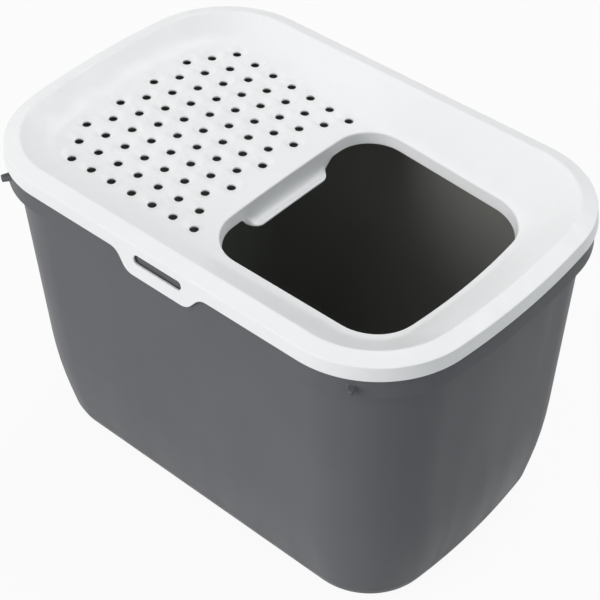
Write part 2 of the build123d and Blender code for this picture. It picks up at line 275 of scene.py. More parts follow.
def dished(x, y, wall=0.0):
    """Height against the ridge: max(deck, slope) + h^2 / (4 k), h = k - |deck - slope| where above 0.

    The deck is a level less a steady fall along X less two shallow parabolas. The slope falls evenly
    inwards from the crest. A wall lowers the deck by itself and the slope by wall / cos(slope)."""
    deck = -DECK_DROP - DECK_FALL * x - CROWN_ALONG * x**2 - CROWN_ACROSS * y**2 - wall
    slope = BORDER_RISE - (inset_of(x, y) - BORDER_WIDTH) * math.tan(DISH_ANGLE) - wall / math.cos(DISH_ANGLE)
    near = np.maximum(DISH_BLEND - np.abs(deck - slope), 0)
    return np.maximum(deck, slope) + near**2 / (4 * DISH_BLEND)


print("deck lies", dished(-200.0, 0.0).round(1), "to", dished(200.0, 140.0).round(1), "below the ridge")

# %% [markdown]
# ## Rim of the lid
#
# From the slope the wall goes over the crest, down the border to the ridge and down the skirt, which is
# moulded 2.5 mm thick. The section is carried round the outline. Only one size changes on the way: the
# skirt's edge, which drops into a tab at the middle of each long side. A tab is a trapezium with large
# rounds, so the same rounding function draws it.

# %% Rim section
CREST_ROUND = 4.0
RIDGE_ROUND = 1.4
EDGE_ROUND = 0.8
WEB_INSET = 24.0
TAB_BASE = 113.0
TAB_TIP = 81.0
TAB_ROUND = 17.0


def tab_drop(x):
    """How far the skirt hangs at x: a trapezium whose corners are rounded, the same on both sides."""
    half = [[[-200, SKIRT_DROP]], [[-TAB_BASE / 2, SKIRT_DROP]], [[-TAB_TIP / 2, TAB_DROP]], [[0, TAB_DROP]]]
    line = rounded(half, [TAB_ROUND, TAB_ROUND], 12)[:, 0]
    return np.interp(-np.abs(x), line[:, 0], line[:, 1])


def line_offset(before, here, after, wall):
    """Corner of a section moved by wall to the right of its path: here + wall (n1 + n2) / (1 + n1.n2)."""
    first, second = here - before, after - here
    n1 = np.stack([first[:, 1], -first[:, 0]], -1) / np.linalg.norm(first, axis=-1, keepdims=True)
    n2 = np.stack([second[:, 1], -second[:, 0]], -1) / np.linalg.norm(second, axis=-1, keepdims=True)
    return here + wall * (n1 + n2) / (1 + (n1 * n2).sum(-1, keepdims=True))


def on_lid(section):
    """Section points (inset, height against the ridge) placed on the lid's outline, in 3-D."""
    plan = ridge + inward * section[..., :1]
    return np.concatenate([plan, RIDGE_Z + section[..., 1:]], -1)


one = np.ones(AROUND)
web_edge = ridge + inward * WEB_INSET
on_long_side = np.abs(ridge[:, 1]) > HALF_WIDTH - 0.01
skirt_drop = np.where(on_long_side, tab_drop(ridge[:, 0]), SKIRT_DROP)
over = np.stack([
    np.stack([WEB_INSET * one, dished(*web_edge.T)], -1),
    np.stack([BORDER_WIDTH * one, BORDER_RISE * one], -1),
    np.stack([0 * one, 0 * one], -1),
    np.stack([-skirt_drop * SKIRT_FLARE, -skirt_drop], -1),
])
under = np.stack([
    over[3] + [LID_WALL, 0],
    line_offset(over[1], over[2], over[3], -LID_WALL),
    line_offset(over[0], over[1], over[2], -LID_WALL),
    np.stack([WEB_INSET * one, dished(*web_edge.T, LID_WALL)], -1),
])
rim_radii = [CREST_ROUND, RIDGE_ROUND, EDGE_ROUND, EDGE_ROUND, 0.5, 1.0]
rim_points = on_lid(split_runs(rounded(np.concatenate([over, under]), rim_radii), 7.0))
rim_faces = grid_faces(len(rim_points), AROUND)
print("rim rows", len(rim_points), "inner ridge", under[1].mean(0).round(2), "lowest", rim_points[..., 2].min().round(2))

# %% [markdown]
# ## Finger slots in the tabs
#
# A slot with round ends goes through each tab. It could be cut with a Boolean, but then its edge would be
# sharp and its faces uneven. Here a block of the rim's grid is left out on both faces of the tab, and a
# fan of rings runs from the block's border to a stadium. Between the two faces the wall of the slot is a
# grid of its own, whose first and last rows roll over.

# %% Slot patches
SLOT_LENGTH = 64.5
SLOT_HEIGHT = 10.4
SLOT_DROP = 14.4
SLOT_ROLL = 0.5


def stadium_spots(across, down):
    """Place on the slot's middle line, and direction from it, for the border of a block of cells.

    The block's corners go to the points halfway round each quarter of the end circles, and the border's
    points between them are spread evenly by length: s runs along the top, round the right-hand end, back
    along the bottom and round the left-hand end."""
    half = (SLOT_LENGTH - SLOT_HEIGHT) / 2
    straight, eighth = 2 * half, SLOT_HEIGHT / 2 * np.pi / 4
    corners = np.cumsum([0, across, down, across, down])
    length = np.interp(np.arange(corners[-1]), corners,
                       [-eighth, straight + eighth, straight + 3 * eighth,
                        2 * straight + 5 * eighth, 2 * straight + 7 * eighth])
    ends = np.array([0, straight, straight + 4 * eighth, 2 * straight + 4 * eighth])
    middle = np.interp(length, ends, [-half, half, half, -half])
    turn = np.interp(length, [-eighth, *ends, 2 * straight + 7 * eighth],
                     np.radians([135, 90, 90, -90, -90, -225]))
    return middle, turn


def on_slot(centre, down, side, spots, grow):
    """Points of the slot's outline in 3-D, grown by grow: middle line + radius times the direction."""
    middle, turn = spots
    radius = SLOT_HEIGHT / 2 + grow
    along = middle + radius * np.cos(turn)
    return centre - side * along[:, None] * [1, 0, 0] - radius * np.sin(turn)[:, None] * down


def block_border(low_row, high_row, low_column, high_column):
    """Row and column numbers round the border of a block of the grid, in order and without repeats."""
    rows = np.arange(low_row, high_row)
    columns = np.arange(low_column, high_column)
    row = np.concatenate([low_row + 0 * columns, rows, high_row + 0 * columns, rows[::-1] + 1])
    column = np.concatenate([columns, high_column + 0 * rows, columns[::-1] + 1, low_column + 0 * rows])
    return row, column


def slot_patches(side):
    """Fan patches on the tab's two faces, their blocks in the grid, and the slot's outlines for its wall; side is
    -1 or 1.
    """
    middle = int(np.argmin(np.abs(ridge[:, 0]) + 999 * (ridge[:, 1] * side < 0)))
    reach = int(np.sum((np.abs(ridge[:, 0]) < 37) & (ridge[:, 1] * side > 0)) // 2)
    drop = RIDGE_Z - rim_points[:, middle, 2]
    deepest = int(np.argmax(drop))
    patches, gaps, rims = [], [], []
    for rows in (np.arange(deepest), np.arange(deepest, len(drop))):
        upper, lower = (int(rows[np.argmin(np.abs(drop[rows] - (SLOT_DROP + way * 7.5)))]) for way in (-1, 1))
        low, high = sorted((upper, lower))
        row, column = block_border(low, high, middle - reach, middle + reach)
        border = rim_points[row if upper < lower else low + high - row, column]
        lower_y = np.interp(SLOT_DROP, drop[[upper, lower]], rim_points[[upper, lower], middle, 1])
        centre = np.array([0, lower_y, RIDGE_Z - SLOT_DROP])
        slope = rim_points[lower, middle] - rim_points[upper, middle]
        down = slope / np.linalg.norm(slope)
        spots = stadium_spots(2 * reach, high - low)
        lip = on_slot(centre, down, side, spots, SLOT_ROLL)
        share = np.linspace(0, 1, 5)[:, None, None]
        fan = border + (lip - border) * share
        patches.append((fan, grid_faces(len(fan), len(border))))
        rims.append((centre, down, spots))
        gaps.append((low, high, middle - reach, middle + reach))
    return patches, gaps, rims


def slot_wall(rims, side):
    """Wall of a slot: rolls in from the outer face by a quarter circle, crosses, and rolls out again."""
    turn = np.linspace(0, np.pi / 2, 5)
    rows = []
    for (centre, down, spots), way, turns in zip(rims, (-side, side), (turn, turn[::-1])):
        for step in turns:
            sink = np.array([0, way * SLOT_ROLL * (1 - np.cos(step)), 0])
            rows.append(on_slot(centre + sink, down, side, spots, SLOT_ROLL * (1 - np.sin(step))))
    wall = np.array(rows)
    return wall, grid_faces(len(wall), wall.shape[1])


def without_blocks(faces, gaps):
    """The grid's faces less those whose first corner lies in one of the blocks."""
    row, column = faces[:, 0] // AROUND, faces[:, 0] % AROUND
    keep = np.ones(len(faces), bool)
    for low, high, left, right in gaps:
        keep &= ~((row >= low) & (row < high) & (column >= left) & (column < right))
    return faces[keep]


slot_parts, slot_gaps = [], []
for side in (-1, 1):
    fans, gaps, rims = slot_patches(side)
    slot_parts += [*fans, slot_wall(rims, side)]
    slot_gaps += gaps
rim_faces = without_blocks(rim_faces, slot_gaps)
print("slot patches", len(slot_parts), "rim faces left", len(rim_faces))

# %% [markdown]
# ## The entry opening and its grip
#
# The opening is a large rounded window whose edge is rolled down into a flange. In the middle of its inner
# edge the flange grows into a tongue that curves out under the opening, by which the lid is lifted. Flange
# and tongue are one section here, carried round the opening: two weights move its corners from the one
# shape to the other, one for the depth and one for the reach, so the tongue has soft ends.

# %% Outline of the opening
ENTRY_NEAR = -9.6
ENTRY_FAR = 211.0
ENTRY_NEAR_HALF = 129.0
ENTRY_FAR_HALF = 121.6
ENTRY_CORNER = 45.0
ENTRY_FAR_BOW = 11.3
ENTRY_NEAR_BOW = 1.0
EVERY = 2.2


def entry_outline():
    """Counter-clockwise outline of the opening with a point about every EVERY mm.

    A rounded quadrilateral is resampled by length. Its ends then bulge by bow (1 - (y / half)^2), where
    the bow blends smoothly from the near end's to the far end's."""
    corners = [(ENTRY_FAR, -ENTRY_FAR_HALF), (ENTRY_FAR, ENTRY_FAR_HALF),
               (ENTRY_NEAR, ENTRY_NEAR_HALF), (ENTRY_NEAR, -ENTRY_NEAR_HALF)]
    middle = ((ENTRY_NEAR + ENTRY_FAR) / 2, -(ENTRY_NEAR_HALF + ENTRY_FAR_HALF) / 2)
    path = np.array([middle, *corners, middle])[:, None, :]
    line = rounded(path, [ENTRY_CORNER] * 4, 24)[:-1, 0]
    closed = np.concatenate([line, line[:1]])
    length = np.concatenate([[0], np.cumsum(np.linalg.norm(np.diff(closed, axis=0), axis=1))])
    spots = np.linspace(0, length[-1], round(length[-1] / EVERY), endpoint=False)
    x, y = (np.interp(spots, length, closed[:, axis]) for axis in (0, 1))
    share = np.clip((x - ENTRY_NEAR) / (ENTRY_FAR - ENTRY_NEAR), 0, 1)
    ease = share**2 * (3 - 2 * share)
    half = ENTRY_NEAR_HALF + (ENTRY_FAR_HALF - ENTRY_NEAR_HALF) * share
    bow = (ENTRY_FAR_BOW * ease - ENTRY_NEAR_BOW * (1 - ease)) * (1 - np.clip(np.abs(y) / half, 0, 1) ** 2)
    return np.stack([x + bow, y], -1)


entry = entry_outline()
step = np.roll(entry, -1, axis=0) - np.roll(entry, 1, axis=0)
into_entry = np.stack([-step[:, 1], step[:, 0]], -1) / np.linalg.norm(step, axis=1, keepdims=True)
print("opening from", entry.min(0).round(1), "to", entry.max(0).round(1), "points", len(entry))

# %% [markdown]
# ## Section of flange and grip
#
# Every corner of the section is given for the plain flange and for the tongue, and the weights blend them.
# The reach ends in a quarter circle, as the tongue's free corners do in plan.

# %% Flange and grip section
FLANGE_DROP = 14.0
FLANGE_DRAFT = 2.4
FLANGE_ROUND = 2.2
GRIP_HALF = 59.5
GRIP_DROP = 27.5
GRIP_REACH = 10.0
GRIP_CORNER = 14.0
GRIP_SWEEP = 9.5
WEB_GAP = 4.0


def grip_weights():
    """Depth and reach of the tongue at each point of the opening's outline, from 0 to 1."""
    across = np.abs(entry[:, 1])
    at_grip = entry[:, 0] < ENTRY_NEAR + 6
    depth = np.clip((71.0 - across) / 14.0, 0, 1)
    past = np.clip(across - (GRIP_HALF - GRIP_CORNER), 0, GRIP_CORNER)
    reach = np.maximum(1 - (GRIP_CORNER - np.sqrt(GRIP_CORNER**2 - past**2)) / GRIP_REACH, 0.05)
    fade = np.clip((GRIP_HALF + 2.5 - across) / 2.5, 0, 1)
    return at_grip * depth**2 * (3 - 2 * depth), at_grip * np.where(across > GRIP_HALF, 0.05 * fade, reach)


def entry_section():
    """Section of flange and tongue as (inset into the opening, height against the ridge), and its radii."""
    deep, far = grip_weights()
    floor_drop = FLANGE_DROP + (GRIP_DROP - FLANGE_DROP) * deep
    draft = FLANGE_DRAFT * (1 - deep)

    def height(inset, wall=0.0):
        spot = entry + into_entry * inset
        return dished(*spot.T, wall)

    def mix(plain, grip):
        return plain + (grip - plain) * far

    flat = 0 * deep
    corners = [
        (flat - WEB_GAP, height(-WEB_GAP)),
        (flat, height(0)),
        (mix(0.5 * draft, 0), height(0) - mix(0.5, 1.0) * floor_drop),
        (mix(draft, GRIP_REACH), height(0) - floor_drop),
        (mix(draft - LID_WALL, GRIP_REACH), height(0) - floor_drop - mix(0, LID_WALL)),
        (mix(0.5 * draft - LID_WALL, -LID_WALL), height(0) - mix(0.5 * floor_drop, floor_drop + LID_WALL)),
        (flat - LID_WALL, height(-LID_WALL, LID_WALL)),
        (flat - WEB_GAP, height(-WEB_GAP, LID_WALL)),
    ]
    radii = [FLANGE_ROUND, GRIP_SWEEP * far, 1.0, 1.0, (GRIP_SWEEP + LID_WALL) * far, 0.8]
    return np.array(corners).swapaxes(1, 2), radii


entry_rows = split_runs(rounded(*entry_section(), 6), 6.0)
entry_plan = entry + into_entry * entry_rows[..., :1]
entry_points = np.concatenate([entry_plan, RIDGE_Z + entry_rows[..., 1:]], -1)
entry_faces = grid_faces(len(entry_points), len(entry))
print("opening rows", len(entry_points), "grip's lowest point", entry_points[..., 2].min().round(1))

# %% [markdown]
# ## A field of 77 drain holes
#
# The holes stand in eleven staggered rows of seven. Each lies at the bottom of a soft round funnel that is
# sunk into the deck, with hardly any deck left between two funnels. All the funnels are one array: places
# by rings by turns. The rings follow the deck's height less the depth of a cone with a soft rim, roll over
# at the hole, go through the wall and come back outwards along the underside.

# %% Funnels
HOLE_ROWS = 11
HOLES_PER_ROW = 7
HOLE_STEP = 28.2
ROW_STEP = 23.4
FIELD_X = -127.9
FIELD_TAPER = 0.000338
FIELD_BOW = 2.0
HOLE_RADIUS = 4.8
HOLE_ROLL = 0.6
HOLE_EDGE = 0.4
DIMPLE_RADIUS = 13.2
DIMPLE_RIM = 2.0
DIMPLE_DEPTH = 4.0
DIMPLE_TURNS = 28


def hole_places():
    """Middles of the holes: rows along X, each second one shifted half a step, the outer two one more."""
    row, count = np.mgrid[0:HOLE_ROWS, 0:HOLES_PER_ROW]
    outermost = (row == 0) | (row == HOLE_ROWS - 1)
    column = np.where(outermost, 0, row % 2 - 2) + 2 * count - (HOLES_PER_ROW - 2)
    middle = (HOLE_ROWS - 1) / 2
    x = FIELD_X + column * HOLE_STEP / 2
    y = (middle - row) * ROW_STEP * (1 - FIELD_TAPER * x)
    return np.stack([x + FIELD_BOW * (y / (middle * ROW_STEP)) ** 2, y], -1).reshape(-1, 2)


def dimple_depth(radius):
    """Depth of a funnel: a cone whose rim starts as a parabola, f^2 / (2 b) up to f = b, then f - b / 2."""
    inward = np.maximum(DIMPLE_RADIUS - radius, 0)
    fall = np.where(inward < DIMPLE_RIM, inward**2 / (2 * DIMPLE_RIM), inward - DIMPLE_RIM / 2)
    return fall * DIMPLE_DEPTH / (DIMPLE_RADIUS - HOLE_RADIUS - DIMPLE_RIM / 2)


def funnel_patch(places):
    """All funnels and hole walls as one array of shape (places, rings, turns, 3), and its faces.

    Each ring has a radius, a wall to go down by, and a height above the funnel's own surface: the rings
    come in down the cone, roll over into the hole by a quarter circle, and go back out underneath."""
    lip = HOLE_RADIUS + HOLE_ROLL
    roll = np.linspace(0, np.pi / 2, 4)
    cone = np.concatenate([DIMPLE_RADIUS - DIMPLE_RIM * np.linspace(0, 1, 5), [9.2, 7.2]])
    low = np.array([HOLE_RADIUS, HOLE_RADIUS + HOLE_EDGE, 8.5, DIMPLE_RADIUS - DIMPLE_RIM, DIMPLE_RADIUS])
    radius = np.concatenate([cone, HOLE_RADIUS + HOLE_ROLL * (1 - np.sin(roll)), low])
    surface = np.concatenate([cone, lip + 0 * roll, [HOLE_RADIUS + HOLE_EDGE], low[1:]])
    above = np.concatenate([0 * cone, -HOLE_ROLL * (1 - np.cos(roll)), [HOLE_EDGE], 0 * low[1:]])
    wall = np.concatenate([0 * cone, 0 * roll, LID_WALL + 0 * low])
    angle = np.arange(DIMPLE_TURNS) * 2 * np.pi / DIMPLE_TURNS
    around = np.stack([np.cos(angle), np.sin(angle)], -1)
    plan = places[:, None, None, :] + radius[:, None, None] * around
    height = np.where(wall[:, None] > 0, dished(plan[..., 0], plan[..., 1], LID_WALL),
                      dished(plan[..., 0], plan[..., 1])) + (above - dimple_depth(surface))[:, None]
    points = np.concatenate([plan, (RIDGE_Z + height)[..., None]], -1)
    faces = grid_faces(len(radius), DIMPLE_TURNS)
    all_faces = faces[None] + (np.arange(len(places)) * len(radius) * DIMPLE_TURNS)[:, None, None]
    return points, all_faces.reshape(-1, 4)


holes = hole_places()
funnel_points, funnel_faces = funnel_patch(holes)
print("holes", len(holes), "funnel faces", len(funnel_faces))

# %% [markdown]
# ## The web between rim, opening and funnels
#
# What is left of the deck is a sheet with 78 holes in it. Its border points are already there, so it is
# triangulated between them. Extra points are strewn where the surface bends: parallel outlines across the
# slope's foot, and a coarse grid on the deck. The same triangles serve for the top and for the underside.

# %% Triangulated web
def inside(outline, spots):
    """True for the spots inside a closed outline: an odd number of its edges crosses the ray along +X."""
    x, y = spots[:, 0], spots[:, 1]
    crossings = np.zeros(len(spots), int)
    for (x0, y0), (x1, y1) in zip(outline, np.roll(outline, -1, axis=0)):
        spans = (y0 > y) != (y1 > y)
        where = x0 + (y - y0) * (x1 - x0) / (y1 - y0 if y1 != y0 else 1e-12)
        crossings += spans & (x < where)
    return crossings % 2 == 1


def strewn_points():
    """Points of the web between its borders: parallel outlines near the slope, a grid on the deck."""
    insets = np.concatenate([np.arange(28, 74, 2.3)])
    rings = np.concatenate([lid_ring(inset)[::2] for inset in insets])
    grid = np.stack(np.meshgrid(np.arange(-230, 230, 9.0), np.arange(-140, 141, 9.0)), -1).reshape(-1, 2)
    grid = grid[inset_of(*grid.T) > 76]
    spots = np.concatenate([rings, grid])
    near_hole = np.linalg.norm(spots[:, None] - holes[None], axis=-1).min(1) < DIMPLE_RADIUS + 1.2
    far_entry = entry - into_entry * (WEB_GAP + 1.2)
    return spots[~near_hole & ~inside(far_entry, spots)]


def web_patch():
    """Top and underside of the web: a constrained triangulation, less the triangles inside the holes."""
    loops = [web_edge, entry - into_entry * WEB_GAP]
    angle = np.arange(DIMPLE_TURNS) * 2 * np.pi / DIMPLE_TURNS
    circle = DIMPLE_RADIUS * np.stack([np.cos(angle), np.sin(angle)], -1)
    loops += [place + circle for place in holes]
    edges, start = [], 0
    for loop in loops:
        number = np.arange(len(loop))
        edges += np.stack([start + number, start + (number + 1) % len(loop)], -1).tolist()
        start += len(loop)
    spots = np.concatenate([*loops, strewn_points()])
    verts, _, triangles, *_ = delaunay_2d_cdt([Vector(spot) for spot in spots.tolist()], edges, [], 0, 1e-5)
    plan = np.array(verts)
    triangles = np.array(triangles)
    middle = plan[triangles].mean(1)
    in_hole = np.linalg.norm(middle[:, None] - holes[None], axis=-1).min(1) < DIMPLE_RADIUS * math.cos(np.pi / DIMPLE_TURNS)
    triangles = triangles[~in_hole & ~inside(loops[1], middle)]
    x, y = plan.T
    top = np.stack([x, y, RIDGE_Z + dished(x, y)], -1)
    low = np.stack([x, y, RIDGE_Z + dished(x, y, LID_WALL)], -1)
    return (top, triangles), (low, triangles)


web_top, web_low = web_patch()
print("web triangles", len(web_top[1]))

# %% [markdown]
# ## Weld the lid
#
# All patches of the lid meet in shared points, so merging closes the shell. It stands for the lid's solid
# and rides on the body that lifts off.

# %% The lid
lid = shell("lid_shell", [(rim_points, rim_faces), *slot_parts, (entry_points, entry_faces),
                          (funnel_points, funnel_faces), web_top, web_low])
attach(lid, "lid")
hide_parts("lid")

# %% [markdown]
# ## The bin's wall, floor and turned-down rim
#
# The bin is one thin wall. Its sides lean in towards the floor, a little more below a soft knee, and turn
# into the floor by a large heel. At the top the wall folds outwards into a flat rim and down again as a
# lip, which the lid's skirt covers. Each corner of that long section is an outline of its own, so the
# section is rounded directly in 3-D, from the floor outside, over the rim, and back to the floor inside.

# %% Outlines of the bin
MOUTH = np.array([283.0, 186.8, 20.0, 99.0])
BASE = np.array([265.6, 165.3, 16.0, 87.1])
BIN_WALL = 2.4
FLOOR_WALL = 3.0
KNEE_RISE = 89.0
KNEE_LEAN = 13.4
KNEE_ROUND = 600.0
HEEL_ROUND = 30.6
FLOOR_EDGE = 60.0


def wall_ring(z, inset):
    """Outline of the bin's wall at height z, moved inwards: its sizes run evenly from base to mouth."""
    half_length, half_width, bow, corner = BASE + (MOUTH - BASE) * z / RIDGE_Z - [inset, inset, 0, inset]
    plan = ring(half_length, half_width, (half_width**2 + bow**2) / (2 * bow), corner)
    return np.concatenate([plan, np.full((AROUND, 1), z)], -1)


def lip_ring(drop, inset):
    """Outline parallel to the lid's ridge line, at a depth below it; inset may differ all round."""
    plan = ridge + inward * np.reshape(inset, (-1, 1))
    return np.concatenate([plan, np.full((AROUND, 1), RIDGE_Z - drop)], -1)


def knee_lean(z):
    """How much further in than the straight wall the lower wall stands at height z."""
    return KNEE_LEAN * (KNEE_RISE - z) / KNEE_RISE


print("bin wall at the floor", (2 * wall_ring(0, knee_lean(0)).max(0)).round(1)[:2])

# %% [markdown]
# ## The rim lip and its corner lugs
#
# A small blunt lug stands out from the lip at each corner of the bin, where a clip or a cord could hold.
# Four more corners of the section follow the lug's outline: where there is no lug they lie in line on the
# lip, and a weight pulls them out where there is one. The weight is 1 within a narrow arc of the corner
# and falls to 0 over half a degree.

# %% Rim section of the bin
LIP_CLEARANCE = 0.6
LIP_WALL = 2.2
LIP_DROP = 39.0
LIP_FLARE = math.tan(math.radians(5.0))
LUG_REACH = 8.3
LUG_DROP = 24.3
LUG_EDGE = 6.2
RIM_DROP = LID_WALL + SEAT_GAP


def lip_inset(drop):
    """Inset of the lip's outer face below the ridge line; the lip leans outwards as it goes down."""
    return LID_WALL + LIP_CLEARANCE - drop * LIP_FLARE


def lug_weight():
    """1 on the corner arcs between the lug's two sides, 0 elsewhere, with a short ramp."""
    degrees = np.degrees(np.arctan2(np.abs(ridge[:, 1]) - RIDGE_CORNER_Y, np.abs(ridge[:, 0]) - RIDGE_CORNER_X))
    low, high = LUG_DEGREES
    return np.clip((degrees - low + LUG_RAMP) / (2 * LUG_RAMP), 0, 1) * \
        np.clip((high + LUG_RAMP - degrees) / (2 * LUG_RAMP), 0, 1)


lug = lug_weight()
lug_inset = lip_inset(LIP_DROP) - LUG_REACH
under_plate = RIM_DROP + LIP_WALL


def toward_lug(drop):
    """The lip's inset at a depth, pulled out to the lug's end by the lug's weight."""
    return lip_inset(drop) + (lug_inset - lip_inset(drop)) * lug


bin_corners = [
    wall_ring(0, knee_lean(0) + FLOOR_EDGE),
    wall_ring(0, knee_lean(0)),
    wall_ring(KNEE_RISE, 0),
    wall_ring(RIDGE_Z - under_plate, 0),
    lip_ring(under_plate, lip_inset(under_plate) + LIP_WALL),
    lip_ring(LIP_DROP, lip_inset(LIP_DROP) + LIP_WALL),
    lip_ring(LIP_DROP, lip_inset(LIP_DROP)),
    lip_ring(LUG_DROP + LUG_EDGE + 0.4, lip_inset(LUG_DROP + LUG_EDGE + 0.4)),
    lip_ring(LUG_DROP + LUG_EDGE, toward_lug(LUG_DROP + LUG_EDGE)),
    lip_ring(LUG_DROP, toward_lug(LUG_DROP)),
    lip_ring(LUG_DROP - 0.4, lip_inset(LUG_DROP - 0.4)),
    lip_ring(RIM_DROP, lip_inset(RIM_DROP)),
    wall_ring(RIDGE_Z - RIM_DROP, BIN_WALL),
    wall_ring(KNEE_RISE, BIN_WALL),
    wall_ring(FLOOR_WALL, knee_lean(FLOOR_WALL) + BIN_WALL),
    wall_ring(FLOOR_WALL, knee_lean(FLOOR_WALL) + FLOOR_EDGE),
]
bin_radii = [HEEL_ROUND, KNEE_ROUND, 2.0, 1.2, 0.7, 0.7, 0.8, 1.6, 1.6, 0.8, 2.0, 1.5, KNEE_ROUND, HEEL_ROUND]
bin_points = split_runs(rounded(bin_corners, bin_radii), 70.0)
bin_faces = grid_faces(len(bin_points), AROUND)
print("bin rows", len(bin_points), "lug points", int((lug > 0.5).sum()))

# %% [markdown]
# ## Floor and weld
#
# Both floors are flat, so one face with many corners closes each of them. The shell is then welded as the
# lid was. It stands for the bin's solid and rides on the bin's body.

# %% The bin
litter_bin = shell("bin_shell", [(bin_points, bin_faces), (bin_points[[0, -1]], [list(range(AROUND)),
                                                          list(range(AROUND, 2 * AROUND))])])
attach(litter_bin, "bin")
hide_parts("bin")

# %% [markdown]
# ## Building a plastic
#
# A moulded plastic is never one flat colour. Its face carries the fine grain of the mould, a slow drift of
# tone where the melt flowed, and scratches and dust from use. Those are layers of noise at different
# scales, all read from Object coordinates, so they stay put on the piece. A few helpers keep the node
# trees short: one adds a node and sets it, one lays a range over a texture.

# %% Node helpers
class Finish:
    """A node material that is built line by line."""

    def __init__(self, name):
        self.material = bpy.data.materials.new(name)
        self.material.use_nodes = True
        self.tree = self.material.node_tree
        self.shader = self.tree.nodes["Principled BSDF"]
        self.place = self.add("ShaderNodeTexCoord").outputs["Object"]

    def add(self, kind, inputs=None, **settings):
        """Adds a node; an input is a value or another node's output."""
        node = self.tree.nodes.new(kind)
        for name, value in settings.items():
            setattr(node, name, value)
        for name, value in (inputs or {}).items():
            if isinstance(value, bpy.types.NodeSocket):
                self.tree.links.new(value, node.inputs[name])
            else:
                node.inputs[name].default_value = value
        return node

    def noise(self, scale, detail=4.0, stretch=(1, 1, 1), rough=0.55, warp=0.0):
        """Noise of about 1 / scale metres, drawn out by stretch."""
        moved = self.add("ShaderNodeMapping", {"Vector": self.place, "Scale": stretch}).outputs["Vector"]
        return self.add("ShaderNodeTexNoise", {"Vector": moved, "Scale": scale, "Detail": detail,
                                               "Roughness": rough, "Distortion": warp}).outputs["Fac"]

    def span(self, value, low, high, to_low=0.0, to_high=1.0):
        """Maps low..high to to_low..to_high along a soft curve."""
        return self.add("ShaderNodeMapRange", {"Value": value, "From Min": low, "From Max": high,
                                               "To Min": to_low, "To Max": to_high},
                        interpolation_type="SMOOTHSTEP").outputs["Result"]

    def maths(self, operation, *values):
        """One sum on single numbers."""
        node = self.tree.nodes.new("ShaderNodeMath")
        node.operation = operation
        for socket, value in zip(node.inputs, values):
            if isinstance(value, bpy.types.NodeSocket):
                self.tree.links.new(value, socket)
            else:
                socket.default_value = value
        return node.outputs[0]

    def blend(self, share, low, high):
        """Mixes two colours by a share from 0 to 1."""
        node = self.add("ShaderNodeMix", data_type="RGBA")
        for socket, value in zip((node.inputs[0], node.inputs[6], node.inputs[7]), (share, low, high)):
            if isinstance(value, bpy.types.NodeSocket):
                self.tree.links.new(value, socket)
            else:
                socket.default_value = value
        return node.outputs[2]

    def bump(self, height, distance, under=None):
        """Raises the surface by height x distance in metres, on top of another bump."""
        inputs = {"Height": height, "Distance": distance, "Strength": 1.0}
        if under is not None:
            inputs["Normal"] = under
        return self.add("ShaderNodeBump", inputs).outputs["Normal"]

    def wear(self, name, value):
        """Links a value to one of the shader's sockets."""
        self.tree.links.new(value, self.shader.inputs[name])


print("node helpers ready")

# %% [markdown]
# ## White satin plastic of the lid
#
# The lid is a slightly cool white with a satin face. A very fine grain scatters the light, roughness
# drifts in soft patches, hairline scuffs cross the places that paws and hands rub, and a little grey dust
# settles. The hollows are not found, so dust lies on level ground: it grows where a broad noise and the
# surface's upward tilt agree.

# %% Lid finish
def lid_finish():
    """Cool white satin plastic with fine grain, scuffs and a trace of dust on level ground."""
    finish = Finish("lid_white_satin")
    drift = finish.span(finish.noise(7.0, 3.0), 0.3, 0.7)
    cloud = finish.span(finish.noise(38.0, 4.0, warp=0.4), 0.35, 0.68)
    grain = finish.noise(2600.0, 2.0)
    pores = finish.noise(900.0, 3.0)
    scuff_a = finish.noise(95.0, 5.0, (0.16, 3.2, 1.0), 0.6, 0.3)
    scuff_b = finish.noise(120.0, 5.0, (2.6, 0.2, 1.0), 0.6, 0.4)
    scuffs = finish.maths("MAXIMUM", finish.span(scuff_a, 0.66, 0.74), finish.span(scuff_b, 0.67, 0.75))
    facing = finish.add("ShaderNodeNewGeometry").outputs["Normal"]
    upward = finish.add("ShaderNodeSeparateXYZ", {"Vector": facing}).outputs["Z"]
    level = finish.span(upward, 0.8, 0.995)
    dust = finish.maths("MULTIPLY", finish.maths("MULTIPLY", level, finish.span(pores, 0.52, 0.72)),
                        finish.span(finish.noise(16.0, 5.0), 0.4, 0.7, 0.1, 0.55))
    tone = finish.blend(drift, (0.882, 0.876, 0.879, 1), (0.906, 0.9, 0.902, 1))
    tone = finish.blend(finish.maths("MULTIPLY", cloud, 0.35), tone, (0.862, 0.858, 0.863, 1))
    tone = finish.blend(finish.maths("MULTIPLY", dust, 0.2), tone, (0.72, 0.71, 0.68, 1))
    tone = finish.blend(finish.maths("MULTIPLY", scuffs, 0.12), tone, (0.72, 0.73, 0.735, 1))
    finish.wear("Base Color", tone)
    rough = finish.maths("ADD", finish.span(cloud, 0, 1, 0.36, 0.45), finish.maths("MULTIPLY", scuffs, 0.1))
    finish.wear("Roughness", finish.maths("ADD", rough, finish.maths("MULTIPLY", dust, 0.2)))
    coarse = finish.bump(finish.noise(5.0, 2.0), 0.0006)
    scored = finish.bump(scuffs, -0.000012, coarse)
    finish.wear("Normal", finish.bump(grain, 0.00002, finish.bump(pores, 0.00003, scored)))
    finish.shader.inputs["IOR"].default_value = 1.5
    return finish.material


lid.data.materials.clear()
lid.data.materials.append(lid_finish())
print("lid finish:", lid.data.materials[0].name)
